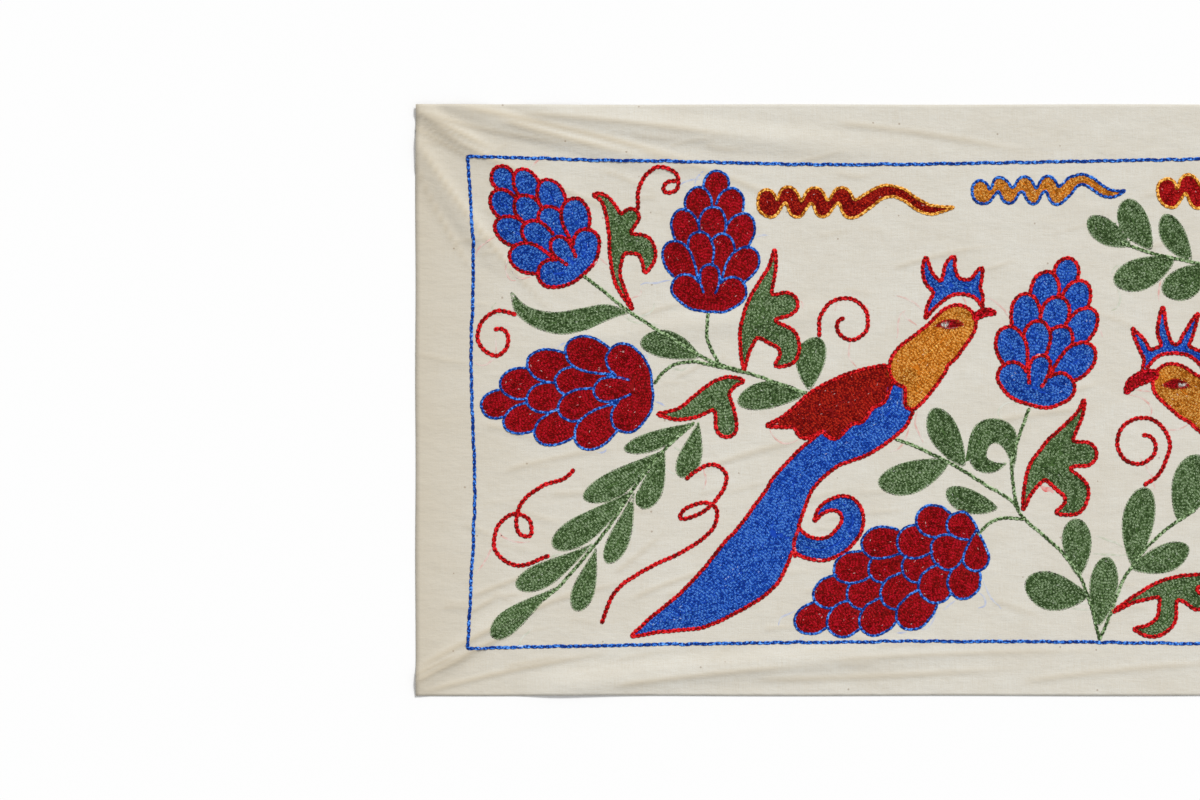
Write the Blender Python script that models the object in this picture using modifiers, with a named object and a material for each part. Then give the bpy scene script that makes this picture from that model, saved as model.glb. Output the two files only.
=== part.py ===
"""Suzani panel: one length of cotton cloth, laid flat, with the soft creases that were pressed into it.

Metres, +Z up. X runs along the panel's length and Y across it, towards its upper long edge. The origin is
under the panel's middle, on the surface that it lies on.
"""

from collections import namedtuple
from math import cos, pi, sin

import bmesh
import bpy
from mathutils import Vector

LENGTH = 1.200  # along X
WIDTH = 0.500  # along Y
THICKNESS = 0.0015  # the cotton with its chain stitch
CELL = 0.012  # spacing of the cloth's points
EDGE_WANDER = 0.0008  # how far the hand-cut edges stray from straight
CLOTH_COLOUR = (0.730, 0.690, 0.580, 1.0)

# A crease is a soft ridge between two places on the cloth. bend is how far its middle bows to the left of the
# straight line, width is measured across it and height is that of its crown over the surface.
Crease = namedtuple("Crease", "x0 y0 x1 y1 bend width height")
CREASES = (
    # upper left corner, a fan
    Crease(-0.610, 0.258, -0.520, 0.190, 0.000, 0.030, 0.0030),
    Crease(-0.600, 0.262, -0.330, 0.192, -0.008, 0.028, 0.0026),
    Crease(-0.612, 0.236, -0.508, 0.092, -0.006, 0.030, 0.0026),
    # upper long edge
    Crease(-0.530, 0.250, -0.130, 0.206, -0.004, 0.034, 0.0022),
    # lower left corner and lower long edge
    Crease(-0.612, -0.252, -0.480, -0.160, 0.004, 0.030, 0.0028),
    Crease(-0.520, -0.250, -0.090, -0.212, 0.006, 0.036, 0.0026),
    # upper right corner and edge
    Crease(0.612, 0.256, 0.500, 0.176, 0.004, 0.030, 0.0028),
    Crease(0.560, 0.256, 0.180, 0.212, -0.006, 0.034, 0.0024),
    # lower right corner and edge
    Crease(0.612, -0.250, 0.525, -0.150, -0.004, 0.030, 0.0026),
    Crease(0.590, -0.258, 0.140, -0.216, -0.006, 0.036, 0.0024),
    # across the middle, where the cloth was folded away
    Crease(-0.500, 0.044, -0.170, 0.076, 0.006, 0.034, 0.0014),
    Crease(0.060, -0.060, 0.420, -0.024, -0.006, 0.036, 0.0014),
)
FADE_IN = 0.12  # share of a crease's length over which it rises
FADE_OUT = 0.45  # share over which it dies away


def smooth_step(value):
    held = min(max(value, 0.0), 1.0)
    return held * held * (3.0 - 2.0 * held)


def crease_height(crease, place):
    """How high one crease lifts the cloth at a place."""
    start = Vector((crease.x0, crease.y0))
    along = Vector((crease.x1, crease.y1)) - start
    share = (place - start).dot(along) / along.length_squared
    if not 0.0 < share < 1.0:
        return 0.0
    left = Vector((-along.y, along.x)).normalized()
    aside = (place - start).dot(left) - 4.0 * crease.bend * share * (1.0 - share)
    if abs(aside) >= crease.width / 2:
        return 0.0
    crown = cos(pi * aside / crease.width) ** 2
    return crease.height * crown * smooth_step(share / FADE_IN) * smooth_step((1.0 - share) / FADE_OUT)


def cloth_height(place):
    return max(crease_height(crease, place) for crease in CREASES)


def edge_place(x, y):
    """A grid point moved with the wander of the nearest edges, which dies away towards the middle."""
    by_end = (2.0 * x / LENGTH) ** 9
    by_side = (2.0 * y / WIDTH) ** 9
    x -= EDGE_WANDER * abs(by_end) * (1.0 + sin(41.0 * y + 0.7)) * (1.0 if x > 0 else -1.0)
    y -= EDGE_WANDER * abs(by_side) * (1.0 + sin(23.0 * x + 1.9)) * (1.0 if y > 0 else -1.0)
    return Vector((x, y))


def clear_scene():
    for thing in list(bpy.data.objects):
        bpy.data.objects.remove(thing, do_unlink=True)


def cotton():
    material = bpy.data.materials.new("cotton_ground")
    material.use_nodes = True
    shader = material.node_tree.nodes["Principled BSDF"]
    shader.inputs["Base Color"].default_value = CLOTH_COLOUR
    shader.inputs["Roughness"].default_value = 0.9
    shader.inputs["Metallic"].default_value = 0.0
    return material


def ground_cloth():
    """The cloth's underside as an open sheet, thickened upwards."""
    mesh = bpy.data.meshes.new("ground_cloth")
    sheet = bmesh.new()
    bmesh.ops.create_grid(
        sheet,
        x_segments=round(LENGTH / CELL),
        y_segments=round(WIDTH / CELL),
        size=0.5,
    )
    for vertex in sheet.verts:
        place = edge_place(vertex.co.x * LENGTH, vertex.co.y * WIDTH)
        vertex.co = (place.x, place.y, cloth_height(place))
    sheet.to_mesh(mesh)
    sheet.free()
    mesh.shade_smooth()
    cloth = bpy.data.objects.new("ground_cloth", mesh)
    cloth.data.materials.append(cotton())
    thicken = cloth.modifiers.new("thickness", "SOLIDIFY")
    thicken.thickness = THICKNESS
    thicken.offset = 1.0
    return cloth


def main():
    clear_scene()
    panel = bpy.data.collections.new("suzani_panel")
    bpy.context.scene.collection.children.link(panel)
    panel.objects.link(ground_cloth())


main()
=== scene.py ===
"""A suzani panel: cream cotton laid flat and worked in chain stitch with birds, grapes, leaves and tendrils.

Places in the drawing are in millimetres from the panel's middle, X along it and Y towards its upper long
edge. A place is a complex number, so that turning and scaling a motif is one multiplication.
"""

from collections import namedtuple
from functools import lru_cache
from math import pi

import bpy
import numpy as np
from bpy.props import FloatProperty, FloatVectorProperty, IntProperty, PointerProperty
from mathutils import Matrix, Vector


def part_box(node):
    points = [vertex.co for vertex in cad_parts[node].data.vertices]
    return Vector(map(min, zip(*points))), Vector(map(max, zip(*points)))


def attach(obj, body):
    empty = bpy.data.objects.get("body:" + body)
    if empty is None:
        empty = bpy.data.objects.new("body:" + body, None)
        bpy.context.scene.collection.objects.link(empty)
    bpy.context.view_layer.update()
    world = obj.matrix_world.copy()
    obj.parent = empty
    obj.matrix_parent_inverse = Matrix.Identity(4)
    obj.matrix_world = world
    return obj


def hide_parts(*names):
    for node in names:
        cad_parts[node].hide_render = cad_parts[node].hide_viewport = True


bl_info = {
    "name": "Suzani Panel",
    "version": (1, 0, 0),
    "blender": (4, 5, 0),
    "location": "View3D > Sidebar > Suzani",
    "description": "Makes an embroidered cotton panel with birds, grapes and leaves in chain stitch",
    "category": "Add Mesh",
}

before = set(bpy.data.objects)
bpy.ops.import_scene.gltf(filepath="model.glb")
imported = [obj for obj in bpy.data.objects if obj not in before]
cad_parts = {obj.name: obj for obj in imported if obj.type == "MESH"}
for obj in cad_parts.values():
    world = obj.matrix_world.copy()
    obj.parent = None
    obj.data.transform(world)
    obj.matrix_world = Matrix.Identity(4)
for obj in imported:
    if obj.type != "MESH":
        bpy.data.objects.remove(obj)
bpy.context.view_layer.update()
LOW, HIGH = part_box("ground_cloth")
PANEL_LENGTH = round(HIGH.x - LOW.x, 2)
PANEL_WIDTH = round(HIGH.y - LOW.y, 2)
MM = 0.001
BAKE_MAP = "OFBake"
SEED = 1871

# ---------------------------------------------------------------- settings


def length_property(label, text, value, low, high):
    return FloatProperty(
        name=label, description=text, default=value, min=low, max=high, subtype="DISTANCE", unit="LENGTH"
    )


def linear(red, green, blue):
    """A colour as it looks on a screen, 0 to 255, turned into the linear values that Blender mixes with."""
    value = np.array([red, green, blue]) / 255
    return tuple(np.where(value <= 0.04045, value / 12.92, ((value + 0.055) / 1.055) ** 2.4))


def colour_property(label, text, *screen):
    return FloatVectorProperty(
        name=label, description=text, default=linear(*screen), min=0, max=1, size=3, subtype="COLOR"
    )


class ClothSettings(bpy.types.PropertyGroup):
    """Sizes and colours of the cotton ground."""

    length: length_property("Length", "The panel along its long side", PANEL_LENGTH, 0.2, 3)
    width: length_property("Width", "The panel across, between its long edges", PANEL_WIDTH, 0.2, 2)
    thickness: length_property("Thickness", "Of the cotton alone", 0.0006, 0.0002, 0.002)
    cell: length_property("Cell", "Spacing of points across the cloth, doubled along it", 0.0021, 0.002, 0.02)
    edge_wander: length_property("Edge wander", "How far the edges stray from straight", 0.0002, 0, 0.01)
    selvedge: length_property("Selvedge", "How far the edges reach past length and width", 0.0011, 0, 0.01)
    cotton: colour_property("Cotton", "Main colour of the unbleached cotton", 207, 205, 197)
    # The slub colour is also the colour that the cloth darkens towards as painted shade along its creases and
    # near its ends.
    slub_and_shade: colour_property("Slub", "Thicker, browner yarn in the weave", 186, 176, 157)
    speck: colour_property("Speck", "Seed husks left in the yarn", 119, 89, 61)


class StitchSettings(bpy.types.PropertyGroup):
    """Sizes of the chain stitches."""

    fill_pitch: length_property("Filling pitch", "Length of one stitch in a filling row", 0.0026, 0.001, 0.01)
    row_gap: length_property("Row gap", "From one filling row to the next", 0.00178, 0.001, 0.005)
    edge_pitch: length_property("Outline pitch", "Length of one stitch in an outline", 0.0043, 0.001, 0.01)
    edge_width: length_property("Outline width", "Width of an outline's chain", 0.0038, 0.001, 0.01)
    border_pitch: length_property("Border pitch", "Length of one stitch of the border", 0.006, 0.001, 0.02)
    border_width: length_property("Border width", "Width of the border's chain", 0.0032, 0.001, 0.01)
    stem_width: length_property("Stem width", "Width of a stem's chain", 0.0032, 0.001, 0.01)
    height: length_property("Thread height", "Of a filling's thread, not an outline's", 0.0007, 0.0002, 0.003)


class ThreadSettings(bpy.types.PropertyGroup):
    """Main colour of each thread."""

    blue: colour_property("Blue", "Birds' bodies, grapes and border", 54, 124, 224)
    crimson: colour_property("Crimson", "Dark red of the grapes", 192, 1, 10)
    scarlet: colour_property("Scarlet", "Bright red of outlines and tendrils", 206, 6, 10)
    brick: colour_property("Brick", "Brown red of the wings", 186, 14, 2)
    green: colour_property("Green", "Leaves and stems", 128, 156, 106)
    ochre: colour_property("Ochre", "Heads and ribbons", 244, 172, 62)
    white: colour_property("White", "Eye spots", 244, 242, 236)


class StageSettings(bpy.types.PropertyGroup):
    """Camera, floor and light."""

    view_x: length_property("View place", "Where along the panel the camera stands", -0.4445, -2, 2)
    view_width: length_property("View width", "How much of the panel the frame spans", 1.02, 0.1, 5)
    camera_height: length_property("Camera height", "Over the floor", 2.6, 0.5, 20)
    floor_size: length_property("Floor size", "Side of the floor", 40, 1, 100)
    sky: FloatProperty(name="Sky", description="Even light from all round", default=0.6, min=0, max=5)
    sun: FloatProperty(name="Sun", description="Soft light from one side", default=2.88, min=0, max=20)
    floor: colour_property("Floor", "Colour of the plain floor", 234, 234, 234)


class EndSettings(bpy.types.PropertyGroup):
    """Ends of thread that lie behind the cloth and show through it."""

    count: IntProperty(name="Count", description="How many ends are left", default=300, min=0, max=1000)
    end_length: length_property("Length", "Of a usual end", 0.03, 0.005, 0.1)
    end_width: length_property("Width", "Of an end as it shows", 0.0017, 0.0003, 0.004)


# ---------------------------------------------------------------- lines


def respaced(line, step):
    """The same open line with its points about a step apart."""
    run = np.concatenate([[0], np.cumsum(np.abs(np.diff(line)))])
    count = max(2, round(run[-1] / step) + 1)
    at = np.linspace(0, run[-1], count)
    return np.interp(at, run, line.real) + 1j * np.interp(at, run, line.imag)


def curve_through(points, step=0.8):
    """A smooth open line through a few points."""
    p = np.array([complex(x, y) for x, y in points])
    p = np.concatenate([[2 * p[0] - p[1]], p, [2 * p[-1] - p[-2]]])
    gap = np.sqrt(np.maximum(np.abs(np.diff(p)), 1e-6))
    before, here, after = gap[:-2], gap[1:-1], gap[2:]
    a, b, c, d = p[:-3], p[1:-2], p[2:-1], p[3:]
    leave = here * ((b - a) / before - (c - a) / (before + here) + (c - b) / here)
    reach = here * ((c - b) / here - (d - b) / (here + after) + (d - c) / after)
    t = np.linspace(0, 1, 25)[:-1, None]
    fine = (2 * t**3 - 3 * t**2 + 1) * b + (t**3 - 2 * t**2 + t) * leave
    fine = fine + (3 * t**2 - 2 * t**3) * c + (t**3 - t**2) * reach
    return respaced(np.append(fine.T.ravel(), p[-2]), step)


def closed_shape(line):
    """A closed outline, anticlockwise, that doesn't repeat its first point."""
    if abs(line[0] - line[-1]) < 1e-6:
        line = line[:-1]
    area = np.sum(line.real * np.roll(line.imag, -1) - line.imag * np.roll(line.real, -1))
    return line if area > 0 else line[::-1]


def height_of(motif):
    """How far a motif's tip is from its foot."""
    return abs(complex(motif.tip_x - motif.x, motif.tip_y - motif.y))


def placed(shape, motif, axis):
    """A shape drawn from 0 to axis, put between a motif's foot and its tip."""
    foot = complex(motif.x, motif.y)
    return foot + shape * (complex(motif.tip_x, motif.tip_y) - foot) / axis


def in_chunks(function, places):
    """Runs a function that compares places with a line on a few places at a time, to save memory."""
    return np.concatenate([function(part) for part in np.array_split(places, 1 + len(places) // 1500)])


def nearest(places, line):
    """Each place's distance to the nearest point of a line."""
    return in_chunks(lambda part: np.abs(part[:, None] - line).min(1), places)


def in_box_of(places, line, margin):
    """Which places lie in the box around a line, with a margin."""
    x, y = line.real, line.imag
    near = (places.real > x.min() - margin) & (places.real < x.max() + margin)
    return near & (places.imag > y.min() - margin) & (places.imag < y.max() + margin)


def inside(places, shape):
    """Which places lie inside a closed outline."""
    ends = np.roll(shape, -1)
    slope = (ends.real - shape.real) / np.where(ends.imag == shape.imag, 1e-9, ends.imag - shape.imag)

    def odd_crossings(part):
        y = part.imag[:, None]
        crosses = (shape.imag <= y) != (ends.imag <= y)
        return (crosses & (part.real[:, None] < shape.real + (y - shape.imag) * slope)).sum(1) % 2 == 1

    return in_chunks(odd_crossings, places)


# For each pattern of corners of a square that are inside a shape, the sides that its outline comes in and out
# by. The corners count 1, 2, 4 and 8, and the sides 0 to 3, both anticlockwise from the lower left.
CROSSINGS = {
    1: ((0, 3),), 2: ((1, 0),), 3: ((1, 3),), 4: ((2, 1),), 5: ((0, 3), (2, 1)), 6: ((2, 0),), 7: ((2, 3),),
    8: ((3, 2),), 9: ((0, 2),), 10: ((1, 0), (3, 2)), 11: ((1, 2),), 12: ((3, 1),), 13: ((0, 1),),
    14: ((3, 0),),
}


def zero_line(field):
    """The longest closed line on which a grid of values passes through zero, in grid steps."""
    low = field < 0
    pattern = low[:-1, :-1] + 2 * low[:-1, 1:] + 4 * low[1:, 1:] + 8 * low[1:, :-1]
    following = {}
    for i, j in zip(*np.nonzero((pattern > 0) & (pattern < 15))):
        sides = ((i, j, 0), (i, j + 1, 1), (i + 1, j, 0), (i, j, 1))
        for come, go in CROSSINGS[pattern[i, j]]:
            following[sides[come]] = sides[go]
    loops = []
    while following:
        loop, side = [], next(iter(following))
        while side in following:
            loop.append(side)
            side = following.pop(side)
        loops.append(loop)
    i, j, upright = np.array(max(loops, key=len)).T
    here, there = field[i, j], field[i + upright, j + 1 - upright]
    share = here / (here - there)
    return j + share * (1 - upright) + 1j * (i + share * upright)


def eased(values, reach=7):
    """Values with their corners rounded, up to both ends."""
    reach = min(reach, len(values) // 3)
    before, after = 2 * values[0] - values[reach:0:-1], 2 * values[-1] - values[-2 : -reach - 2 : -1]
    window = np.full(2 * reach + 1, 1 / (2 * reach + 1))
    return np.convolve(np.concatenate([before, values, after]), window, "valid")


def bands_shape(bands, cell=0.6):
    """The outline of bands grown together. Each bend of a band is its x, its y and its half width there."""
    middles, halves = [], []
    for bends in bands:
        middle = curve_through([(x, y) for x, y, _ in bends], 0.7)
        marks = [np.abs(middle - complex(x, y)).argmin() for x, y, _ in bends]
        middles.append(middle)
        halves.append(eased(np.interp(np.arange(len(middle)), marks, [half for _, _, half in bends])))
    middle, half = np.concatenate(middles), np.concatenate(halves)
    reach = half.max() + 2 * cell
    x = np.arange(middle.real.min() - reach, middle.real.max() + reach, cell)
    y = np.arange(middle.imag.min() - reach, middle.imag.max() + reach, cell)
    grid = (x + 1j * y[:, None]).ravel()
    field = in_chunks(lambda part: (np.abs(part[:, None] - middle) - half).min(1), grid)
    line = zero_line(field.reshape(len(y), len(x))) * cell + complex(x[0], y[0])
    return closed_shape(respaced(np.append(line, line[0]), 0.8))


def smooth_step(value):
    held = np.clip(value, 0, 1)
    return held * held * (3 - 2 * held)


def hand_wander(places):
    """Places moved a little, as a hand-drawn line strays."""
    x, y = places.real, places.imag
    slow = 1.3 * np.sin(x / 71 + y / 53 + 0.4) + 1.4j * np.sin(x / 63 - y / 90 + 2.1)
    quick = 0.45 * np.sin(x / 17 + y / 23) + 0.5j * np.sin(x / 19 - y / 13 + 0.8)
    return places + slow + quick


# ---------------------------------------------------------------- creases

# A crease is a soft ridge between two places. bend is how far its middle bows to the left, width is measured
# across it, height is that of its crown.
Crease = namedtuple("Crease", "x0 y0 x1 y1 bend width height")
MAIN_CREASES = (
    Crease(-610, 258, -520, 190, 0, 30, 3.0),
    Crease(-600, 262, -330, 192, -8, 28, 2.6),
    Crease(-612, 236, -508, 92, -6, 30, 2.6),
    Crease(-530, 250, -130, 206, -4, 34, 2.2),
    Crease(-612, -252, -480, -160, 4, 30, 2.8),
    Crease(-520, -250, -90, -212, 6, 36, 2.6),
    Crease(612, 256, 500, 176, 4, 30, 2.8),
    Crease(560, 256, 180, 212, -6, 34, 2.4),
    Crease(612, -250, 525, -150, -4, 30, 2.6),
    Crease(590, -258, 140, -216, -6, 36, 2.4),
    Crease(-500, 44, -170, 76, 6, 34, 1.4),
    Crease(60, -60, 420, -24, -6, 36, 1.4),
)
FINE_CREASES = (
    # the fan in the upper left corner
    Crease(-606, 250, -545, 205, 0, 6.6, 1.17),
    Crease(-606, 240, -400, 150, -5, 7.9, 1.08),
    Crease(-604, 226, -470, 60, -7, 7.9, 1.08),
    Crease(-604, 246, -440, 214, -4, 6.6, 0.9),
    Crease(-606, 210, -540, 90, -4, 7.3, 0.9),
    Crease(-570, 250, -330, 190, 5, 8.6, 1.08),
    Crease(-520, 244, -290, 218, 3, 7.9, 0.81),
    Crease(-420, 214, -250, 150, 6, 9.2, 0.72),
    Crease(-250, 236, -60, 206, 3, 9.2, 0.72),
    Crease(-606, 248, -522, 206, 0, 7, 1.3),
    Crease(-606, 234, -545, 200, 0, 7, 1.2),
    Crease(-532, 239, -400, 206, -2, 9, 1.1),
    # the fan in the lower left corner
    Crease(-606, -235, -556, -213, 0, 6, 1.3),
    Crease(-606, -240, -540, -211, 0, 7, 1.3),
    Crease(-558, -182, -526, -164, 0, 7, 0.9),
    Crease(-526, -228, -468, -218, 1, 9, 0.7),
    Crease(-606, -244, -500, -190, 3, 6.6, 1.26),
    Crease(-606, -232, -430, -150, 5, 7.9, 1.08),
    Crease(-600, -250, -420, -212, 3, 7.3, 0.99),
    Crease(-560, -170, -440, -130, 3, 7.3, 0.81),
    Crease(-540, -190, -400, -150, 3, 7.3, 0.72),
    Crease(-440, -244, -240, -224, 2, 8.6, 0.81),
    Crease(-320, -238, -60, -226, -2, 9.2, 0.72),
    Crease(-260, -222, 20, -214, 3, 7.9, 0.63),
    Crease(-90, -240, 120, -222, 3, 9.2, 0.63),
    # between the motifs
    Crease(-545, -20, -470, -44, 2, 7.3, 0.63),
    Crease(-530, -62, -420, -40, 3, 7.9, 0.63),
    Crease(-360, -60, -250, -30, 3, 8.6, 0.63),
    Crease(-420, -170, -330, -140, 3, 7.9, 0.63),
    Crease(-200, 110, -100, 132, 3, 7.9, 0.54),
    Crease(-120, -20, -10, -6, 2, 7.9, 0.54),
    # the far corners
    Crease(606, 246, 500, 192, -3, 7.3, 1.08),
    Crease(606, 230, 520, 120, 4, 7.9, 0.9),
    Crease(606, -242, 480, -190, -3, 7.3, 1.08),
    Crease(600, -226, 530, -130, -4, 7.9, 0.9),
    Crease(500, 246, 260, 220, -4, 8.6, 0.81),
    Crease(520, -244, 260, -222, 3, 8.6, 0.81),
)
PUCKERS = 190  # how many there are
FADE_IN = 0.12  # share of a crease's length over which it rises
FADE_OUT = 0.45  # share over which it dies away


@lru_cache(maxsize=None)
def puckers():
    """Short shallow creases all over, mostly along the weft, and more of them towards the ends."""
    rng = np.random.default_rng(SEED)
    made = []
    for _ in range(PUCKERS):
        x = 590 * np.sign(rng.uniform(-1, 1)) * rng.uniform(0, 1) ** 0.7
        y = rng.uniform(-225, 225)
        along = rng.uniform(9, 32) * np.exp(1j * rng.normal(0, 0.3))
        width, height = rng.uniform(5.5, 9), rng.uniform(0.25, 0.6)
        start, end, bend = complex(x, y) - along, complex(x, y) + along, rng.normal(0, 2)
        made.append(Crease(start.real, start.imag, end.real, end.imag, bend, width, height))
    return tuple(made)


def cloth_lift(places):
    """How high the creases lift the cloth, in millimetres."""
    return lift_of(MAIN_CREASES, places) + lift_of(FINE_CREASES + puckers(), places)


def lift_of(creases, places):
    lift = np.zeros(len(places))
    for crease in creases:
        along = complex(crease.x1 - crease.x0, crease.y1 - crease.y0)
        local = (places - complex(crease.x0, crease.y0)) / along
        share = local.real
        aside = local.imag * abs(along) - 4 * crease.bend * share * (1 - share)
        crown = np.cos(pi * np.clip(aside / crease.width, -0.5, 0.5)) ** 2
        fade = smooth_step(share / FADE_IN) * smooth_step((1 - share) / FADE_OUT)
        lift = np.maximum(lift, crease.height * crown * fade)
    return lift


# ---------------------------------------------------------------- motifs

# line is an outline or, where closed is False, an open line. fill and edge name threads.
Motif = namedtuple("Motif", "kind line closed fill edge")
Leaf = namedtuple("Leaf", "x y tip_x tip_y wide bend fullness", defaults=(1.35,))
ThornLeaf = namedtuple("ThornLeaf", "x y tip_x tip_y spread power")
Cluster = namedtuple("Cluster", "x y tip_x tip_y spread form fill edge")
Grape = namedtuple("Grape", "across along wide long")
Ribbon = namedtuple("Ribbon", "x y pitch half tail fill edge")
Tendril = namedtuple("Tendril", "stalk x y turns inner")


def leaf_shape(length, wide, bend, fullness):
    """A leaf from 0 to length, bowed to its left by bend. With more fullness it is widest nearer its tip."""
    t = np.linspace(0, 1, 80) ** 1.2
    half = wide / 2 * np.sqrt(np.sin(pi * t**fullness))
    middle = length * t + 4j * bend * t * (1 - t)
    return closed_shape(respaced(np.concatenate([middle - 1j * half, (middle + 1j * half)[-2::-1]]), 0.8))


def leaf_line(leaf):
    length = height_of(leaf)
    return placed(leaf_shape(length, leaf.wide, leaf.bend, leaf.fullness), leaf, length)


# A leaf that runs out in thorn-like points, with two lobes on one side, on a height of 100.
THORN_LEAF = (
    ((0, 0, 0.5), (1, 16, 3.5), (6, 34, 9), (15, 54, 10), (24, 74, 5.5), (29, 88, 2.6), (30, 100, 0.5)),
    ((12, 44, 11), (27, 52, 10.5), (41, 56, 10)),
    ((12, 40, 10), (28, 32, 10), (40, 26, 11), (42, 14, 8), (28, 4, 0.5)),
)
THORN_LEAF_TIP = 30 + 100j


def thorn_leaf_line(leaf):
    """The outline of a leaf with thorns. Less power crowds its lobes towards its tip."""
    size = height_of(leaf) / abs(THORN_LEAF_TIP)
    wide = size * leaf.spread
    bands = [
        [(x * wide, 100 * size * (y / 100) ** leaf.power, half * wide) for x, y, half in band]
        for band in THORN_LEAF
    ]
    return placed(bands_shape(bands), leaf, complex(THORN_LEAF_TIP.real * wide, THORN_LEAF_TIP.imag * size))


# A small forked leaf, in millimetres from the end of its stem.
FORKED_LEAF = (
    ((-74, -29, 0.5), (-54, -29, 5), (-34, -19, 9.5), (-18, -6, 8), (-8, -1, 3.5), (2, 0, 0.5)),
    ((-22, -10, 8), (-16, -24, 8), (-14, -38, 9)),
)

# A leaf with two lobes whose tip hooks back, the same way.
HOOKED_LEAF = (
    ((0, 0, 0.5), (-7, 12, 2.2), (-12.5, 24, 3), (-14, 32, 3.4), (-13.5, 45, 5.4), (-12.5, 58, 7.2),
     (-13, 71, 7), (-16, 82, 5.6), (-20, 90.5, 4.4), (-24.5, 96, 3.1), (-29, 98.4, 1.8), (-33.5, 99, 0.5)),
    ((-10.5, 54.7, 7), (1, 56.4, 8.4), (9.2, 54.7, 8.5), (13.3, 45, 6.5), (12.5, 37, 3.5), (10.5, 30, 0.5)),
    ((-9.6, 66, 7), (-4, 76, 7.4), (-1, 80, 7.3)),
)

# The grapes of a cluster from its tip to its stem, on a length of 100: the place and size of the round end of
# each. One with across other than 0 stands for a pair. All of them point to the foot of the cluster.
GRAPES = {
    "short": (
        Grape(0, 101, 19, 34),
        Grape(14, 89, 21, 44),
        Grape(0, 75, 21, 40),
        Grape(26, 72, 22, 50),
        Grape(10.5, 57, 21, 42),
        Grape(34, 48, 23, 46),
    ),
    "long": (
        Grape(0, 101, 18, 32),
        Grape(10, 87, 19, 34),
        Grape(0, 72, 19, 32),
        Grape(19, 72, 19, 34),
        Grape(9.5, 57, 19, 32),
        Grape(27, 54, 19, 34),
        Grape(0, 42, 19, 32),
        Grape(18, 38, 20, 30),
        Grape(27, 22, 19, 30),
        Grape(0, 25, 20, 25),
        Grape(17, 8, 15, 21),
    ),
}
# The grapes that have grown together at the stem.
GRAPE_FOOT = {
    "short": (
        ((0, 10, 10), (-11, 11, 10), (-19, 17, 11)),
        ((0, 10, 10), (11, 11, 10), (19, 17, 11)),
        ((0, 10, 8), (0, 20, 8), (0, 28, 8)),
    ),
    "long": (),
}
# Lines of chain that part the grapes of a foot without reaching the stem.
FOOT_PARTING = ((8.5, 27), (7, 20), (4.5, 14))
GRAPE_FULLNESS = 2.0
FINE_CELL = 0.4  # grid on which the outlines of small shapes are found


def cluster_motifs(cluster):
    """A cluster's grapes from its tip to its stem, each over the ones before."""
    shapes = []
    size, spread = height_of(cluster) / 100, cluster.spread
    for grape in GRAPES[cluster.form]:
        for side in (1, -1) if grape.across else (1,):
            end = complex(side * grape.across * spread, grape.along)
            shape = leaf_shape(grape.long * size, grape.wide * spread * size, 0, GRAPE_FULLNESS)
            shapes.append((end * size + (shape - grape.long * size) * end / abs(end), True))
    foot = [[(x * spread, y, half * spread) for x, y, half in band] for band in GRAPE_FOOT[cluster.form]]
    if foot:
        shapes.append((bands_shape(foot, cell=FINE_CELL) * size, True))
    for side in (1, -1) if foot else ():
        parting = curve_through([(side * x * size * spread, y * size) for x, y in FOOT_PARTING])
        shapes.append((parting, False))
    made = []
    for shape, closed in shapes:
        line = placed(shape, cluster, 100j * size)
        line = closed_shape(respaced(np.append(line, line[0]), 0.8)) if closed else line
        made.append(Motif("grapes", line, closed, cluster.fill if closed else None, cluster.edge))
    return made


# A ribbon is a caterpillar with a round head and three leaning humps, which runs out in a tail to the right.
# Each bend is a place along it, a height in rises and a half width in halves. The tail's places are shares of
# its length.
RIBBON_HEAD = ((-0.8, 0.35, 1.35), (-0.78, -0.5, 1.4), (-0.62, -0.85, 1.0), (-0.3, -0.1, 0.4))
RIBBON_HUMP = ((0, 1, 1.05), (0.22, 0.1, 1.08), (0.36, -0.96, 1), (0.68, 0, 0.45))
RIBBON_TAIL = (
    (0.12, -0.14, 1.1), (0.26, 1.05, 0.92), (0.37, 1.35, 0.8), (0.5, 1, 0.74), (0.66, -0.05, 0.75),
    (0.79, -0.5, 0.72), (0.9, -0.4, 0.3), (1, -0.2, 0.08),
)
RIBBON_RISE = 1.36  # how far a hump rises, in half widths of the ribbon


def ribbon_line(ribbon):
    """The outline of a ribbon, which is placed by its first hump."""
    humps = [(x + hump, rise, half) for hump in range(3) for x, rise, half in RIBBON_HUMP][:-1]
    bends = [(ribbon.pitch * x, rise, half) for x, rise, half in (*RIBBON_HEAD, *humps)]
    start = bends[-1][0]
    bends += [(start + ribbon.tail * share, rise, half) for share, rise, half in RIBBON_TAIL]
    tall, half = RIBBON_RISE * ribbon.half, ribbon.half
    band = [(ribbon.x + x, ribbon.y + tall * rise, half * share) for x, rise, share in bends]
    return bands_shape([band], cell=FINE_CELL)


def tendril_line(tendril):
    """A stalk that goes on as a spiral about a centre, with turns anticlockwise in all."""
    centre, start = complex(tendril.x, tendril.y), complex(*tendril.stalk[-1])
    t = np.linspace(0, 1, 24)[1:]
    size = abs(start - centre) * (1 - t) ** 0.8 + tendril.inner * t
    coil = centre + size * (start - centre) / abs(start - centre) * np.exp(2j * pi * tendril.turns * t)
    return curve_through([*tendril.stalk, *zip(coil.real, coil.imag)])


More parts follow.
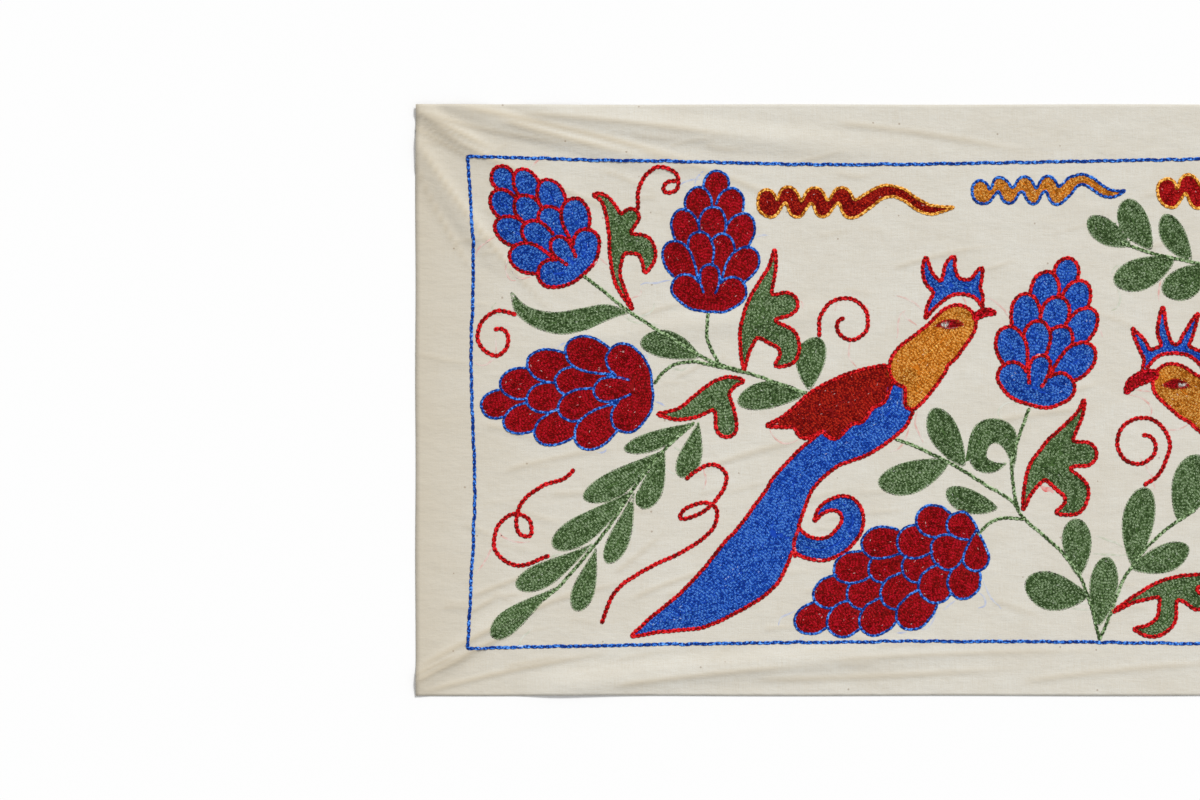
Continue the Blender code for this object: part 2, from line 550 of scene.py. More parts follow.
# The bird faces right. Places are in millimetres from the place where its wing ends and its tail begins.
BIRD_BODY = (
    ((-142, -165, 0.5), (-118, -153, 8), (-84, -138, 19), (-42, -103, 29), (-19, -60, 20), (-2, -29, 15),
     (22, -7, 15), (54, 9, 19), (78, 27, 18), (88, 48, 12)),
    ((-12, -74, 8), (3, -88, 9), (22, -91, 9), (38, -80, 9.5), (44, -65, 9), (38, -54, 8), (27, -53, 5),
     (17, -58, 3), (12, -68, 0.5)),
)
BIRD_WING = (
    ((72, 56, 10), (46, 46, 14), (16, 32, 13), (-10, 19, 6), (-30, 14, 0.5)),
    ((60, 50, 12), (28, 30, 14), (4, 12, 9)),
    ((60, 48, 12), (28, 12, 9)),
    ((64, 48, 10), (49, 25, 9)),
    ((68, 50, 10), (66, 40, 9)),
)
BIRD_NECK = (
    ((133, 100, 17), (118, 82, 19), (98, 66, 20), (92, 62, 15)),
    ((112, 66, 15), (102, 46, 11), (96, 34, 6)),
)
BIRD_CREST = (
    ((108, 106, 0.5), (112, 116, 3), (118, 124, 5), (124, 130, 6), (132, 133, 6.5), (142, 132, 6),
     (150, 128, 4.5), (153.5, 120, 1.6), (155, 113, 0.5)),
    ((120, 131, 5), (112, 137, 5), (107.5, 146, 3.6), (106.5, 158, 0.5)),
    ((128, 135, 7.5), (127, 144, 5.4), (127, 151, 4), (129.5, 156, 1.8), (131.5, 159, 0.5)),
    ((144, 131, 6), (149.5, 137, 4.6), (152, 144, 3.2), (155.5, 150, 0.5)),
)
BIRD_BEAK = (((149.5, 106, 2.4), (154, 109, 3), (161, 110.2, 2.4), (167, 108, 0.6)),)
BIRD_EYE = (((116.5, 99.4, 0.8), (121, 100.2, 3.4), (128, 100.4, 5.2), (135, 100, 3.4), (140, 98.8, 0.8)),)
BIRD_EYE_SPOT = (((121.5, 100, 1.2), (125.5, 100.2, 1.6)),)
# The chain that parts the curl from the tail.
BIRD_PARTING = ((0, -72), (-5, -84), (-4, -98))
# The second bird's beak is heavier, and its crest has long thin plumes.
HEAVY_BEAK = (((148, 108, 4), (157, 106, 5), (166, 100, 4), (171, 92, 0.6)),)
PLUMED_CREST = (
    ((94, 98, 0.5), (99, 112, 4), (109, 124, 4), (122, 130, 3.5), (138, 130, 3.5), (150, 124, 4),
     (158, 108, 0.5)),
    ((152, 122, 3), (157, 134, 4.5), (166, 148, 0.5)),
    ((132, 129, 3), (139, 143, 5), (139, 166, 0.5)),
    ((124, 129, 3), (118, 141, 4.5), (109, 162, 0.5)),
    ((108, 122, 3), (100, 128, 4.5), (90, 126, 5), (82, 112, 0.5)),
)
BIRD_HEAD = 135 + 105j


def bird_motifs(x, y, crest, beak, mirrored=False, lean=0.0):
    """A bird about the root of its tail. lean turns all but its head about the head, in degrees."""
    parts = (
        (BIRD_BODY, "blue", "scarlet"),
        (BIRD_WING, "brick", "scarlet"),
        (BIRD_NECK, "ochre", "scarlet"),
        (crest, "blue", "scarlet"),
        (beak, "crimson", "crimson"),
        (BIRD_EYE, "crimson", None),
        (BIRD_EYE_SPOT, "white", None),
    )
    leaning = (BIRD_BODY, BIRD_WING, BIRD_NECK)
    shapes = [(bands_shape(bands), bands in leaning, True, *dyes) for bands, *dyes in parts]
    shapes.insert(1, (curve_through(BIRD_PARTING), True, False, None, "scarlet"))
    motifs = []
    for line, leans, closed, fill, edge in shapes:
        if leans:
            line = BIRD_HEAD + (line - BIRD_HEAD) * np.exp(-1j * np.radians(lean))
        if mirrored:
            line = -line.conj()
        motifs.append(Motif("bird", line + complex(x, y), closed, fill, edge))
    return motifs


# -- the left end of the panel, which is repeated at the right end the other way round
END_STEMS = (
    ((-460, 106), (-420, 74), (-388, 53), (-354, 34), (-318, 22), (-268, 7)),
    ((-353, 72), (-354, 52), (-345, 31)),
    ((-400, 13), (-388, 26), (-368, 32), (-345, 28), (-322, 23)),
    ((-366, -20), (-391, -44), (-415, -76), (-447, -123), (-480, -160), (-494, -171)),
)
END_LEAVES = (
    Leaf(-365, -20, -424, -44, 17, 2, 1.6),
    Leaf(-362, -18, -376, -66, 20, 2, 1.8),
    Leaf(-388, -42, -458, -86, 22, 3, 1.8),
    Leaf(-390, -42, -408, -93, 20, 2, 1.9),
    Leaf(-414, -75, -484, -126, 24, 3, 2),
    Leaf(-414, -76, -437, -140, 19, 2, 2),
    Leaf(-446, -120, -517, -160, 22, 3, 2.2),
    Leaf(-446, -124, -466, -180, 20, 2, 2),
    Leaf(-478, -158, -538, -203, 21, -2, 2.4),
    Leaf(-360, 36, -412, 48, 24, -3),
    Leaf(-270, 7, -329, -2, 23, -3),
    Leaf(-267, 10, -258, 54, 26, 3),
)
END_BANDS = (
    ((-520, 92, 1.6), (-513, 79, 5.4), (-498, 69, 8), (-480, 65, 10), (-461, 68, 10), (-440, 74, 7),
     (-421, 74, 1)),
)
END_THORN_LEAVES = (ThornLeaf(-323, 24, -295, 127, 0.92, 1),)
END_DRAWN_LEAVES = ((HOOKED_LEAF, -417, 76), (FORKED_LEAF, -324, 16))
END_CLUSTERS = (
    Cluster(-459, 106, -534, 197, 0.9, "short", "blue", "crimson"),
    Cluster(-353, 72, -344, 193, 0.9, "short", "crimson", "blue"),
    Cluster(-400, 12, -543, -5, 0.88, "short", "crimson", "blue"),
)
END_TENDRILS = (
    Tendril(((-257, 54), (-257, 68), (-252, 79)), -233, 66, -1.05, 5),
)
END_LOOPS = (
    ((-512, 71.5), (-522, 76), (-533, 77), (-545, 69), (-549, 56), (-544, 44), (-533, 37.5), (-525, 43),
     (-523, 54), (-528, 62), (-535, 61)),
    ((-412, 162), (-410, 182), (-394, 198), (-377, 191), (-378, 178), (-389, 177), (-387, 185), (-378, 186)),
    ((-466, -60), (-472, -67), (-495, -76), (-512, -92), (-514, -114), (-503, -118), (-503, -104),
     (-516, -98), (-531, -108), (-534, -130), (-516, -142), (-487, -133)),
)

# -- what stands between the two birds, and below and above them, drawn once
MIDDLE_STEMS = (
    ((-21, -203), (-28, -172), (-37, -148), (-60, -122), (-84, -101), (-93, -88), (-116, -74), (-136, -60),
     (-161, -47), (-197, -30)),
    ((-21, -203), (-9, -178), (0, -154), (10, -138), (24, -121), (40, -107), (62, -92)),
    ((-88, -95), (-92, -76), (-93, -55), (-87, -31), (-79, -8)),
    ((-83, -102), (-104, -102), (-116, -107), (-124, -116)),
    ((-2, 133), (31, 122), (66, 114), (110, 104), (150, 84), (172, 60)),
    ((110, 104), (124, 112), (136, 126)),
)
MIDDLE_LEAVES = (
    Leaf(-134, -57, -161, -6, 27, 2),
    Leaf(-147, -52, -209, -72, 28, 3),
    Leaf(-106, -94, -151, -77, 22, 3),
    Leaf(-37, -150, -39, -101, 26, 0),
    Leaf(-29, -166, -85, -157, 32, 2),
    Leaf(-21, -192, -12, -132, 25, 0),
    Leaf(9, -140, 21, -74, 28, 2),
    Leaf(7, -142, 58, -124, 25, -2),
    Leaf(48, -101, 64, -46, 34, -2),
    Leaf(6, 130, -30, 155, 22, 2),
    Leaf(24, 127, 1, 170, 26, 2),
    Leaf(58, 116, 35, 157, 23, 2),
    Leaf(44, 119, -9, 99, 29, 2),
    Leaf(74, 113, 33, 89, 27, 2),
    Leaf(150, 84, 112, 66, 25, 2),
    Leaf(128, 95, 176, 108, 25, -2),
    Leaf(172, 60, 214, 40, 24, -2),
    Leaf(172, 60, 196, 96, 22, 2),
)
MIDDLE_BANDS = (
    ((-92, -62, 1), (-93, -44, 5), (-100, -29, 10), (-114, -28, 11), (-122, -40, 9), (-121, -53, 8),
     (-110, -58, 5.5), (-97, -55, 0.5)),
)
MIDDLE_THORN_LEAVES = (
    ThornLeaf(-84, -95, -32, 0, 0.95, 1),
    ThornLeaf(-9, -180, 94, -142, 0.66, 0.8),
)
MIDDLE_CLUSTERS = (
    Cluster(-125, -118, -276, -192, 0.88, "long", "crimson", "blue"),
    Cluster(-79, -7, -47, 119, 0.86, "short", "blue", "scarlet"),
    Cluster(104, -84, 124, -192, 0.8, "short", "crimson", "blue"),
    Cluster(137, 126, 226, 160, 0.8, "short", "blue", "scarlet"),
)
MIDDLE_TENDRILS = (
    Tendril(((19, -73), (31, -64), (37, -50)), 15, -38, 1.3, 8),
    Tendril(((300, -172), (322, -188), (344, -186)), 344, -170, 1.1, 5),
)
MIDDLE_LOOPS = (
    ((-372, -67), (-362, -58), (-348, -54), (-338, -64), (-345, -83), (-361, -97), (-376, -101), (-371, -92),
     (-356, -87), (-346, -91), (-348, -108), (-370, -126), (-402, -142), (-430, -162), (-443, -189)),
)
MIDDLE_RIBBONS = (
    Ribbon(-284.5, 167, 22.3, 5.7, 87, "brick", "ochre"),
    Ribbon(-106, 179, 20.9, 5.2, 59, "ochre", "blue"),
    Ribbon(57, 175.5, 22.8, 6.2, 87, "scarlet", "ochre"),
)
BORDER_SIDES = (
    ((-557, 207), (-400, 203), (-230, 200), (-80, 202), (100, 205), (320, 202), (557, 206)),
    ((-557, 207), (-552, 120), (-554, 30), (-551, -80), (-557, -211)),
    ((-557, -211), (-360, -207), (-130, -205), (100, -207), (330, -204), (557, -209)),
    ((557, 206), (553, 90), (555, -60), (557, -209)),
)


def group_motifs(stems, leaves, bands, thorn_leaves, clusters, tendrils, loops):
    """The motifs of one part of the drawing, from the back to the front."""
    motifs = [Motif("tendril", tendril_line(tendril), False, None, "scarlet") for tendril in tendrils]
    motifs += [Motif("tendril", curve_through(points), False, None, "scarlet") for points in loops]
    motifs += [Motif("leaf", leaf_line(leaf), True, "green", None) for leaf in leaves]
    motifs += [Motif("leaf", bands_shape([band]), True, "green", None) for band in bands]
    motifs += [Motif("stem", curve_through(points), False, None, "green") for points in stems]
    motifs += [Motif("thorn_leaf", thorn_leaf_line(leaf), True, "green", "scarlet") for leaf in thorn_leaves]
    for cluster in clusters:
        motifs += cluster_motifs(cluster)
    return motifs


@lru_cache(maxsize=None)
def drawing():
    """Every motif in its place on the panel, from the back to the front."""
    end = group_motifs(
        END_STEMS, END_LEAVES, END_BANDS, END_THORN_LEAVES, END_CLUSTERS, END_TENDRILS, END_LOOPS
    )
    for bands, x, y in END_DRAWN_LEAVES:
        end.append(Motif("thorn_leaf", bands_shape(bands) + complex(x, y), True, "green", "scarlet"))
    far_end = [motif._replace(line=-motif.line.conj()) for motif in end]
    middle = group_motifs(
        MIDDLE_STEMS, MIDDLE_LEAVES, MIDDLE_BANDS, MIDDLE_THORN_LEAVES, MIDDLE_CLUSTERS, MIDDLE_TENDRILS,
        MIDDLE_LOOPS,
    )
    for ribbon in MIDDLE_RIBBONS:
        middle.append(Motif("ribbon", ribbon_line(ribbon), True, ribbon.fill, ribbon.edge))
    birds = bird_motifs(-275, -35, BIRD_CREST, BIRD_BEAK)
    birds += bird_motifs(172, -88, PLUMED_CREST, HEAVY_BEAK, mirrored=True, lean=18)
    border = [Motif("border", curve_through(points), False, None, "blue") for points in BORDER_SIDES]
    moved = []
    for motif in border + end + far_end + middle + birds:
        line = motif.line if motif.kind == "border" else hand_wander(motif.line)
        moved.append(motif._replace(line=closed_shape(line) if motif.closed else line))
    return moved


# ---------------------------------------------------------------- stitches

# shade runs from 0 for a thread's deepest colour to 1 for a pale fleck.
Links = namedtuple("Links", "start end shade")
SHADE_RANGE = (0.02, 0.9)
SHORTEST_ROW = 0.5  # in stitches; a shorter one is left out


def links_along(line, pitch, rng):
    """Chain stitches end to end along a line, a little uneven."""
    line = respaced(line, pitch)
    line[1:-1] += rng.normal(0, 0.05 * pitch, len(line) - 2) + 1j * rng.normal(0, 0.05 * pitch, len(line) - 2)
    return line[:-1], line[1:]


def round_joined(shape):
    """Points of an outline with their inward directions, with extra ones to turn at each corner."""
    ahead = np.roll(shape, -1) - shape
    behind = np.roll(ahead, 1)
    turn = np.angle(ahead / behind)
    first = 1j * behind / np.abs(behind)
    places, inward = [], []
    for place, direction, angle in zip(shape, first, turn):
        extra = 1 + int(abs(angle) / 0.25)
        share = np.array([0.5]) if extra == 1 else np.linspace(0, 1, extra + 1)
        places.append(np.full(len(share), place))
        inward.append(direction * np.exp(1j * angle * share))
    return np.concatenate(places), np.concatenate(inward)


def runs_of(line, kept):
    """The unbroken stretches of a closed line that are kept."""
    if kept.all():
        return [np.append(line, line[0])]
    first = int(np.argmin(kept))
    line, kept = np.roll(line, -first), np.roll(kept, -first)
    edges = np.flatnonzero(np.diff(np.concatenate([[0], kept.astype(int), [0]])))
    return [line[a:b] for a, b in zip(edges[::2], edges[1::2]) if b - a > 2]


def rows_inside(shape, first, gap):
    """Lines that follow an outline further and further in: (row number, line)."""
    edge, inward = round_joined(shape)
    rows, depth = [], first
    while True:
        line = edge + inward * depth
        kept = (nearest(line, shape) > depth - 0.3) & inside(line, shape)
        if not kept.any():
            return rows
        rows += [(round((depth - first) / gap), run) for run in runs_of(line, kept)]
        depth += gap


def in_front(places, motifs, margin):
    """Which places are covered by filled motifs that lie over them."""
    covered = np.zeros(len(places), bool)
    for motif in motifs:
        if not motif.closed:
            continue
        near = in_box_of(places, motif.line, margin) & ~covered
        if near.any():
            hit = inside(places[near], motif.line)
            if margin:
                hit |= nearest(places[near], motif.line) < margin * (motif.edge is not None)
            covered[np.flatnonzero(near)[hit]] = True
    return covered


def visible_links(start, end, shade, motifs, margin):
    kept = ~in_front((start + end) / 2, motifs, margin)
    return Links(start[kept], end[kept], shade[kept])


def dye_drift(places):
    """Slow changes in a thread's dye over the cloth."""
    x, y = places.real, places.imag
    return 0.06 * np.sin(x / 21 + y / 34) + 0.05 * np.sin(x / 9 - y / 12 + 1) + 0.04 * np.sin(y / 5 + x / 47)


def filling(motif, over, stitch, rng):
    """The stitches inside one motif."""
    pitch, gap = stitch.fill_pitch / MM, stitch.row_gap / MM
    first = (stitch.edge_width / MM + gap) / 2 * 0.92 if motif.edge else gap / 2
    parts = []
    for number, line in rows_inside(motif.line, first, gap):
        if np.abs(np.diff(line)).sum() < SHORTEST_ROW * pitch:
            continue
        start, end = links_along(line, pitch, rng)
        shade = 0.5 + rng.normal(0, 0.17, len(start)) + rng.normal(0, 0.05) + dye_drift(start)
        if motif.kind == "grapes":
            shade += 0.06 - 0.035 * number
        if motif.kind == "leaf" and number == 0:
            shade += 0.22
        shade = np.clip(shade, *SHADE_RANGE)
        parts.append(visible_links(start, end, shade, over, stitch.edge_width / MM / 2 + 0.3))
    return parts


# The usual shade of an outline, and that of a thread whose outlines are deeper.
OUTLINE_SHADE = 0.28
OUTLINE_SHADES = {"blue": 0.11}


def outline(motif, over, pitch, rng):
    """The chain along one motif's edge or line."""
    line = np.append(motif.line, motif.line[0]) if motif.closed else motif.line
    start, end = links_along(line, pitch, rng)
    own = OUTLINE_SHADES.get(motif.edge, OUTLINE_SHADE)
    shade = np.clip(own + rng.normal(0, 0.06, len(start)) + dye_drift(start) / 2, *SHADE_RANGE)
    return [visible_links(start, end, shade, over, 0)]


def joined(parts):
    return Links(*(np.concatenate([getattr(part, name) for part in parts]) for name in Links._fields))


Strand = namedtuple("Strand", "along across up around faces")


def strand_form(stations, sides, side, bow=0.56, thick=0.32):
    """One thread of a stitch: along 0 to 1, across in half widths, up in heights. It bows to its side."""
    turns = np.arange(sides) / sides * 2 * pi + pi / 2
    along, across, up, around = [-0.18], [0.28 * side], [0.38], [0.5]
    for station in stations:
        out = bow * np.sin(pi * station) ** 0.3 * side
        round_ = (thick + 0.12 * np.sin(pi * station)) * side
        along += [station] * sides
        across += list(out + round_ * np.cos(turns))
        up += list(0.5 + 0.5 * np.sin(turns))
        around += list(0.5 + 0.5 * np.sin(turns))
    along, across, up, around = along + [1.16], across + [0.28 * side], up + [0.38], around + [0.5]
    faces = []
    rings = [1 + sides * i for i in range(len(stations))]
    for i in range(sides):
        j = (i + 1) % sides
        faces.append((0, rings[0] + i, rings[0] + j))
        faces.append((len(along) - 1, rings[-1] + j, rings[-1] + i))
        for a, b in zip(rings, rings[1:]):
            faces += [(a + i, b + i, b + j), (a + i, b + j, a + j)]
    faces = np.array(faces)
    return Strand(*(np.array(v) for v in (along, across, up, around)), faces if side < 0 else faces[:, ::-1])


FILL_STRANDS = [strand_form((0.5,), 3, side) for side in (-1, 1)]
EDGE_STRANDS = [strand_form((0.12, 0.5, 0.88), 4, side, 0.46, 0.42) for side in (-1, 1)]


def new_mesh(name, points, faces):
    """A mesh from points in millimetres and faces that all have the same number of corners."""
    mesh = bpy.data.meshes.new(name)
    mesh.vertices.add(len(points))
    mesh.vertices.foreach_set("co", (points * MM).astype(np.float32).ravel())
    mesh.loops.add(faces.size)
    mesh.loops.foreach_set("vertex_index", faces.astype(np.int32).ravel())
    mesh.polygons.add(len(faces))
    mesh.polygons.foreach_set("loop_start", np.arange(0, faces.size, faces.shape[1], dtype=np.int32))
    mesh.update(calc_edges=True)
    mesh.shade_smooth()
    return mesh


def add_values(mesh, name, values):
    mesh.attributes.new(name, "FLOAT", "POINT").data.foreach_set("value", values.astype(np.float32).ravel())


def add_bake_map(mesh, u, v):
    """The map that the colours are baked on, with a place for each corner of each face."""
    layer = mesh.uv_layers.new(name=BAKE_MAP)
    layer.uv.foreach_set("vector", np.stack([u, v], -1).astype(np.float32).ravel())


def show(name, mesh, material):
    """Puts a mesh in the scene as a piece that rides on the panel."""
    piece = bpy.data.objects.new(name, mesh)
    bpy.context.scene.collection.objects.link(piece)
    mesh.materials.append(material)
    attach(piece, "root")
    return piece


FLECK_SHARE = 0.022  # share of the strands that are pale flecks, for each unit of unevenness
BEDDED = 0.12  # how far a thread's lowest level is under the cloth's face, in heights; fillings stay over it


def stitch_piece(name, links, width, height, strands, thread, unevenness):
    """Makes one piece of chain stitches in one thread. More unevenness sets their shades further apart."""
    rng = np.random.default_rng(SEED + len(name))
    cloth_top = bpy.context.scene.suzani_cloth.thickness / MM
    step = links.end - links.start
    aside = 1j * step / np.abs(step) * width / 2
    low, high = cloth_lift(links.start), cloth_lift(links.end)
    points, faces, shades, alongs, arounds, offset = [], [], [], [], [], 0
    for strand in strands:
        places = links.start[:, None] + step[:, None] * strand.along + aside[:, None] * strand.across
        lift = low[:, None] + (high - low)[:, None] * strand.along
        z = cloth_top + lift + height * (strand.up - BEDDED)
        points.append(np.stack([places.real, places.imag, z], -1).reshape(-1, 3))
        own = np.clip(links.shade + rng.normal(0, unevenness, len(links.shade)), 0.03, 0.88)
        own[rng.random(len(own)) < FLECK_SHARE * unevenness] = 1
        # painted light: each strand is a little lighter on top and darker below and at its ends, where it
        # dives into the cloth
        shade = own[:, None] + 0.05 * (strand.around - 0.5) - 0.03 * np.abs(strand.along - 0.5)
        shades.append(np.clip(shade, 0, 1).ravel())
        alongs.append(np.broadcast_to(strand.along, shade.shape).ravel())
        arounds.append(np.broadcast_to(strand.around, shade.shape).ravel())
        starts = offset + len(strand.along) * np.arange(len(step))
        faces.append((strand.faces[None] + starts[:, None, None]).reshape(-1, 3))
        offset += shade.size
    faces, shade, along, around = (np.concatenate(v) for v in (faces, shades, alongs, arounds))
    mesh = new_mesh(name, np.concatenate(points), faces)
    add_values(mesh, "shade", shade)
    add_values(mesh, "along", along)
    add_values(mesh, "around", around)
    # faces lie on the map by their shade, so that its colours bake true
    u, v = 0.02 + 0.96 * shade, 0.12 + 0.6 * (along + 0.1) / 1.2 + 0.2 * around
    add_bake_map(mesh, u[faces], v[faces])
    return show(name, mesh, thread_material(thread))


# Outlines that are worked in a thinner or a thicker thread, and their share of the usual width.
OUTLINE_SHARES = {
    ("grapes", "blue"): 0.66,
    ("ribbon", "blue"): 0.76,
    ("ribbon", "ochre"): 0.76,
    ("tendril", "scarlet"): 1.08,
}
ROW_OVERLAP = 1.06  # width of a filling row, in row gaps
OUTLINE_RISE = 1.25  # height of an outline's thread, in heights of a filling's
FILL_UNEVENNESS = 0.46
OUTLINE_UNEVENNESS = 0.08


def stitch_kind(kind, pitch, width):
    """Stitches every motif of a kind, one piece for each thread's fillings and one for its outlines."""
    stitch = bpy.context.scene.suzani_stitch
    motifs = drawing()
    fills, edges = {}, {}
    for order, motif in enumerate(motifs):
        if motif.kind != kind:
            continue
        rng = np.random.default_rng(SEED + 7 * order)
        over = motifs[order + 1 :]
        if motif.fill:
            fills.setdefault(motif.fill, []).extend(filling(motif, over, stitch, rng))
        if motif.edge:
            edges.setdefault(motif.edge, []).extend(outline(motif, over, pitch / MM, rng))
    if not fills and not edges:
        raise RuntimeError(f"the drawing has no {kind}")
    height = stitch.height / MM
    for thread, parts in fills.items():
        name, own_width = f"{kind}_{thread}_filling", stitch.row_gap / MM * ROW_OVERLAP
        stitch_piece(name, joined(parts), own_width, height, FILL_STRANDS, thread, FILL_UNEVENNESS)
    for thread, parts in edges.items():
        name, own_width = f"{kind}_{thread}_chain", width * OUTLINE_SHARES.get((kind, thread), 1) / MM
        own_height = height * OUTLINE_RISE
        stitch_piece(name, joined(parts), own_width, own_height, EDGE_STRANDS, thread, OUTLINE_UNEVENNESS)


# ---------------------------------------------------------------- materials


def new_material(name):
    material = bpy.data.materials.new(name)
    material.use_nodes = True
    tree = material.node_tree
    return material, tree, tree.nodes["Principled BSDF"]


def set_finish(shader, roughness, specular):
    shader.inputs["Roughness"].default_value = roughness
    shader.inputs["Specular IOR Level"].default_value = specular


def add_node(tree, kind, inputs=(), **properties):
    """A node with its properties set and its inputs filled or linked."""
    node = tree.nodes.new(kind)
    for name, value in properties.items():
        setattr(node, name, value)
    for socket, value in dict(inputs).items():
        if isinstance(value, bpy.types.NodeSocket):
            tree.links.new(value, node.inputs[socket])
        else:
            node.inputs[socket].default_value = value
    return node


def maths(tree, operation, *values):
    return add_node(tree, "ShaderNodeMath", dict(enumerate(values)), operation=operation).outputs[0]


def attribute(tree, name, output="Fac"):
    return add_node(tree, "ShaderNodeAttribute", attribute_name=name).outputs[output]


def own_place(tree):
    """The place on the panel, in metres."""
    return add_node(tree, "ShaderNodeTexCoord").outputs["Object"]


def colour_ramp(tree, value, stops):
    node = add_node(tree, "ShaderNodeValToRGB", {0: value})
    ramp = node.color_ramp
    while len(ramp.elements) < len(stops):
        ramp.elements.new(0.5)
    for element, (position, colour) in zip(ramp.elements, stops):
        element.position = position
        element.color = (*colour, 1)
    return node.outputs["Color"]


def mixed(tree, share, first, second):
    node = add_node(tree, "ShaderNodeMix", {"Factor": share}, data_type="RGBA")
    for socket, value in ((node.inputs[6], first), (node.inputs[7], second)):
        if isinstance(value, bpy.types.NodeSocket):
            tree.links.new(value, socket)
        else:
            socket.default_value = (*value, 1)
    return node.outputs[2]


def blended(first, second, share):
    return tuple(a * (1 - share) + b * share for a, b in zip(first, second))


def thread_material(thread):
    """Twisted cotton, coloured by each stitch's shade, with a pale fleck at the top of the range. The deep
    and light colours of the range are partly the dye's unevenness and partly painted shade between the
    stitches and painted highlights on them.
    """
    name = f"{thread}_thread"
    if name in bpy.data.materials:
        return bpy.data.materials[name]
    main = tuple(getattr(bpy.context.scene.suzani_threads, thread))
    material, tree, shader = new_material(name)
    # partly painted light: the deep colour stands in part for shade between the stitches, the light one in
    # part for highlights on them
    deep = tuple(0.32 * value**1.6 for value in main)
    light = tuple(value**0.6 for value in main)
    fleck = blended(main, (0.8, 0.79, 0.76), 0.62)
    stops = ((0.0, deep), (0.5, main), (0.8, light), (0.93, light), (0.99, fleck))
    place = own_place(tree)
    fuzz = add_node(tree, "ShaderNodeTexNoise", {"Vector": place, "Scale": 560.0, "Detail": 1.0}).outputs[0]
    fuzz = maths(tree, "MULTIPLY", maths(tree, "SUBTRACT", fuzz, 0.5), 3.4)
    own = attribute(tree, "shade")
    shade = maths(tree, "MINIMUM", maths(tree, "ADD", own, fuzz), maths(tree, "MAXIMUM", own, 0.92))
    tree.links.new(colour_ramp(tree, shade, stops), shader.inputs["Base Color"])
    turns_along = maths(tree, "MULTIPLY", attribute(tree, "along"), 30.0)
    turns_around = maths(tree, "MULTIPLY", attribute(tree, "around"), 4.0)
    twist = maths(tree, "SINE", maths(tree, "ADD", turns_along, turns_around))
    bump = add_node(tree, "ShaderNodeBump", {"Height": twist, "Strength": 0.25, "Distance": 0.0002})
    tree.links.new(bump.outputs["Normal"], shader.inputs["Normal"])
    set_finish(shader, 0.7, 0.12)
    return material


def cotton_material():
    """Plain-weave cotton with slubs and specks, with painted shade along its creases and near its ends, and
    the covering threads' colour, darkened as painted shade, where fillings cover it.
    """
    cloth = bpy.context.scene.suzani_cloth
    cotton, slub_and_shade_colour, speck_colour = (tuple(getattr(cloth, name)) for name in ("cotton", "slub_and_shade", "speck"))
    material, tree, shader = new_material("slubbed_cotton")
    place = own_place(tree)

    def streaks(stretch, detail):
        scaled = add_node(tree, "ShaderNodeMapping", {"Vector": place, "Scale": stretch}).outputs[0]
        inputs = {"Vector": scaled, "Scale": 1.0, "Detail": detail, "Roughness": 0.6}
        return add_node(tree, "ShaderNodeTexNoise", inputs).outputs[0]

    weft = streaks((70, 1150, 1), 2.0)
    warp = streaks((1300, 60, 1), 2.0)
    mottle = streaks((14, 20, 1), 4.0)
    grain = streaks((1100, 1100, 1), 1.0)
    uneven = streaks((40, 75, 1), 3.0)
    cross = maths(tree, "ADD", maths(tree, "MULTIPLY", weft, 0.5), maths(tree, "MULTIPLY", warp, 0.5))
    cross = maths(tree, "ADD", maths(tree, "MULTIPLY", cross, 0.6), maths(tree, "MULTIPLY", grain, 0.4))
    slubs = colour_ramp(tree, cross, ((0.36, (0.6, 0.6, 0.6)), (0.5, (0.24, 0.24, 0.24)), (0.64, (0, 0, 0))))
    colour = mixed(tree, slubs, cotton, slub_and_shade_colour)
    patches = colour_ramp(tree, mottle, ((0.35, (1, 1, 1)), (0.65, (0, 0, 0))))
    colour = mixed(tree, maths(tree, "MULTIPLY", patches, 0.3), colour, slub_and_shade_colour)
    # painted shade: the cloth darkens towards the slub colour along the fine creases and puckers
    painted_crease_shade = maths(tree, "MULTIPLY", attribute(tree, "crease"), 0.9)
    colour = mixed(tree, painted_crease_shade, colour, slub_and_shade_colour)
    # painted shade: the cloth darkens towards the slub colour near both ends of the panel
    along = add_node(tree, "ShaderNodeSeparateXYZ", {0: place}).outputs["X"]
    to_end = maths(tree, "DIVIDE", maths(tree, "ABSOLUTE", along), cloth.length / 2)
    painted_end_shade = maths(tree, "MULTIPLY", maths(tree, "POWER", to_end, 9.0), 0.75)
    colour = mixed(tree, painted_end_shade, colour, slub_and_shade_colour)
    cells = add_node(tree, "ShaderNodeTexVoronoi", {"Vector": place, "Scale": 95.0, "Randomness": 1.0})
    near = maths(tree, "LESS_THAN", cells.outputs["Distance"], 0.085)
    lot = add_node(tree, "ShaderNodeSeparateColor", {"Color": cells.outputs["Color"]}).outputs[0]
    chosen = maths(tree, "GREATER_THAN", lot, 0.82)
    specks = maths(tree, "MULTIPLY", maths(tree, "MULTIPLY", near, chosen), 0.45)
    colour = mixed(tree, specks, colour, speck_colour)
    # where fillings cover the cloth it takes their thread's colour, darkened as painted shade; on the back of
    # the cloth it shows only in dashes
    covered = maths(tree, "GREATER_THAN", attribute(tree, "cover"), 0.9)
    dashes = maths(tree, "GREATER_THAN", streaks((420, 300, 1), 1.0), 0.47)
    normal = add_node(tree, "ShaderNodeNewGeometry").outputs["True Normal"]
    upward = add_node(tree, "ShaderNodeSeparateXYZ", {0: normal}).outputs["Z"]
    covered = maths(tree, "MULTIPLY", covered, maths(tree, "MAXIMUM", dashes, upward))
    colour = mixed(tree, covered, colour, attribute(tree, "shaded_thread_colour", "Color"))
    tree.links.new(colour, shader.inputs["Base Color"])
    relief = maths(tree, "ADD", maths(tree, "MULTIPLY", cross, 0.2), uneven)
    bump = add_node(tree, "ShaderNodeBump", {"Height": relief, "Strength": 0.6, "Distance": 0.0016})
    tree.links.new(bump.outputs["Normal"], shader.inputs["Normal"])
    set_finish(shader, 0.92, 0.2)
    shader.inputs["Sheen Weight"].default_value = 0.1
    return material


# ---------------------------------------------------------------- pieces


